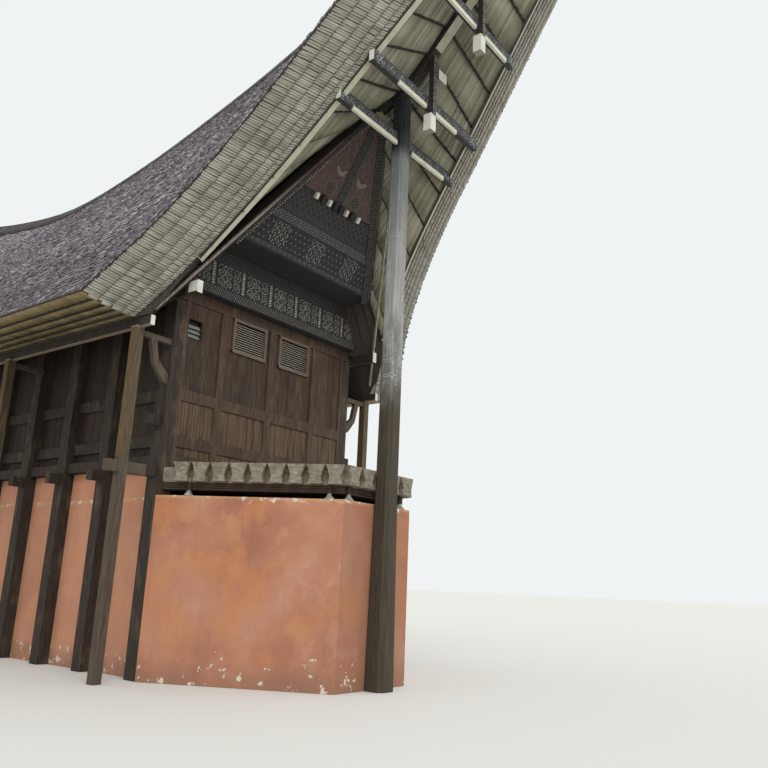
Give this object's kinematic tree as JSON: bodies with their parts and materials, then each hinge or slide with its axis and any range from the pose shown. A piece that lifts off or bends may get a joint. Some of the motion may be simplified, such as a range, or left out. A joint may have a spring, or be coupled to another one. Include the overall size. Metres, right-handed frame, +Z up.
{
  "type": "tongkonan house",
  "caption": "Long raised timber house on posts and plastered masonry, under a saddle roof with two upswept prows, carved gables and tall front posts.",
  "frame": {"origin": "on the ground under the middle of the house", "axes": "+Z up, +Y along the ridge from the front gable to the rear gable, +X to the right seen from the front"},
  "size_m": [8.38, 30.49, 16.6269],
  "materials": {
    "thatch": "weathered split bamboo, matt",
    "dark_timber": "dark stained boards and posts, matt",
    "grey_timber": "bare weathered timber, matt",
    "pale_timber": "pale painted boards, matt",
    "carved_timber": "carved and painted in black, white and red",
    "plaster": "salmon plaster, stained and chipped"
  },
  "bodies": {
    "root": {"roof_slope_right": "thatch", "roof_slope_left": "thatch", "ridge_cap": "thatch", "side_wall_right": "dark_timber", "side_frame_right": "dark_timber", "eave_frame_right": "grey_timber", "masonry_wall_right": "plaster", "side_wall_left": "dark_timber", "side_frame_left": "dark_timber", "eave_frame_left": "grey_timber", "masonry_wall_left": "plaster", "floor": "dark_timber", "front_prow_right": "thatch", "front_verge_board_right": "pale_timber", "front_prow_left": "thatch", "front_verge_board_left": "pale_timber", "front_ridge_beam": "grey_timber", "front_gable_rafters": "dark_timber", "front_gable_panel": "carved_timber", "front_frieze": "carved_timber", "front_wall": "dark_timber", "front_wall_frame": "dark_timber", "front_post": "grey_timber", "front_cross_bar_1": "carved_timber", "front_cross_bar_2": "carved_timber", "front_cross_bar_3": "carved_timber", "front_masonry_bay": "plaster", "front_log_deck": "grey_timber", "rear_prow_right": "thatch", "rear_verge_board_right": "pale_timber", "rear_prow_left": "thatch", "rear_verge_board_left": "pale_timber", "rear_ridge_beam": "grey_timber", "rear_gable_rafters": "dark_timber", "rear_gable_panel": "carved_timber", "rear_frieze": "carved_timber", "rear_wall": "dark_timber", "rear_wall_frame": "dark_timber", "rear_post": "grey_timber", "rear_cross_bar_1": "carved_timber", "rear_cross_bar_2": "carved_timber", "rear_cross_bar_3": "carved_timber", "rear_masonry_bay": "plaster", "rear_log_deck": "grey_timber"}
  },
  "joints": []
}
